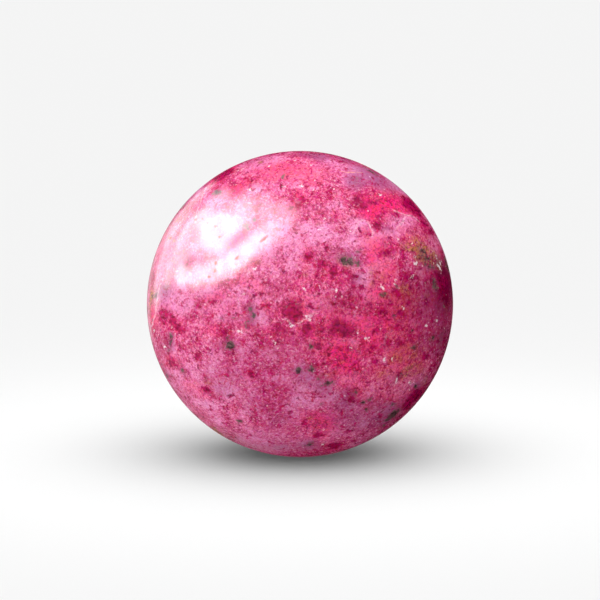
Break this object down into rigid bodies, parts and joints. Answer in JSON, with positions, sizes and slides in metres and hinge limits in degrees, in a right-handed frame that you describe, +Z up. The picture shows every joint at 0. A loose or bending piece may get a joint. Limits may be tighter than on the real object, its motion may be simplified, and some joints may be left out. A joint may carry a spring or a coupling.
{
  "type": "polished rhodonite ball",
  "caption": "Polished ball of rose-pink granular rhodonite, with a small flat ground underneath so that it stands unheld.",
  "frame": {"origin": "middle of the flat ground underneath, on the surface that the ball stands on", "axes": "+Z up through the ball's centre, -Y towards the viewer of the picture, +X to the viewer's right"},
  "size_m": [0.04, 0.04, 0.0396],
  "materials": {
    "polished_rhodonite": "polished"
  },
  "bodies": {
    "root": {"rhodonite_ball": "polished_rhodonite"}
  },
  "joints": []
}
